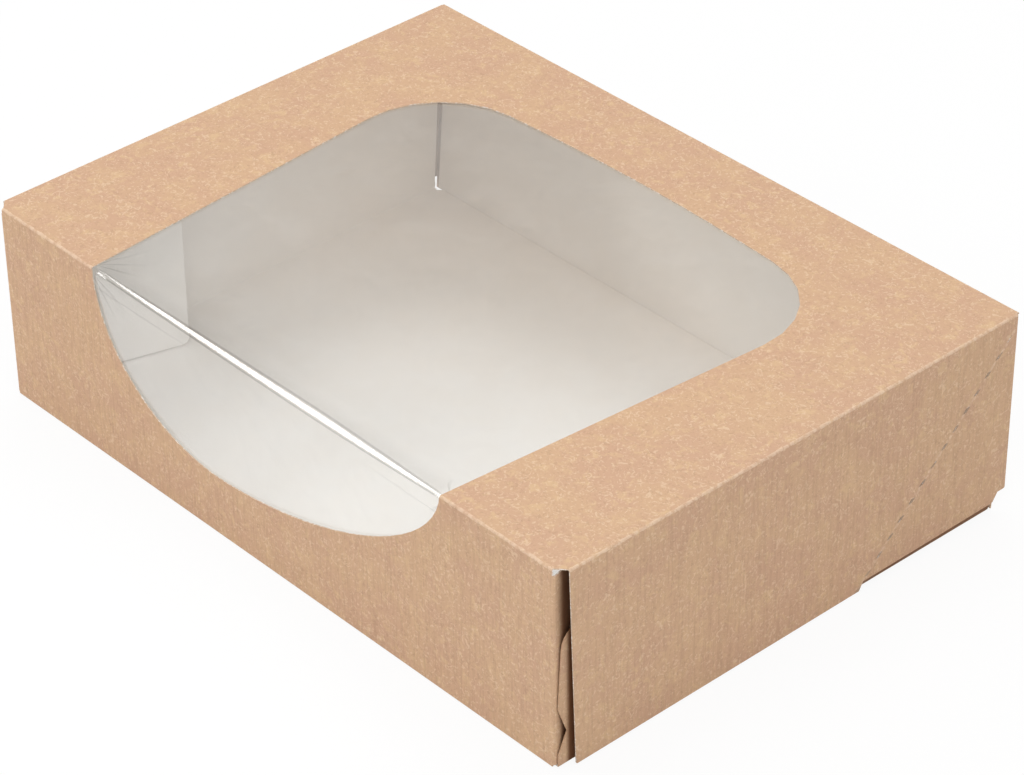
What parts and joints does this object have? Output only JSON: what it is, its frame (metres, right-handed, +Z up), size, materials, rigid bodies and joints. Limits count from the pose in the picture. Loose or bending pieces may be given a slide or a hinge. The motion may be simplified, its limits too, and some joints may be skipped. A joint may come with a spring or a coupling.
{
  "type": "windowed pastry box",
  "caption": "Shallow kraft board pastry box with a clear window wrapped over its front crease; the deep cover hinges back on a low inner tray.",
  "frame": {"origin": "middle of the closed box's footprint, on the table", "axes": "+X along the front panel to the right as seen from the front, +Y from the front panel to the back hinge crease, +Z up"},
  "size_m": [0.31, 0.224, 0.084],
  "materials": {
    "kraft_board_base": "matt kraft boxboard, brown outside and pale inside",
    "kraft_board_lid": "matt kraft boxboard, brown outside and pale inside, with fine fibres",
    "window_film": "clear glossy film, bent round the front crease"
  },
  "bodies": {
    "base": {"base_tray": "kraft_board_base"},
    "cover": {"lid": "kraft_board_lid", "window_film": "window_film"}
  },
  "joints": [
    {"name": "lid_hinge", "type": "hinge", "parent": "base", "child": "cover", "pos_m": [0, 0.105, 0.00025], "axis": [-1, 0, 0], "range_deg": [0, 85]}
  ]
}
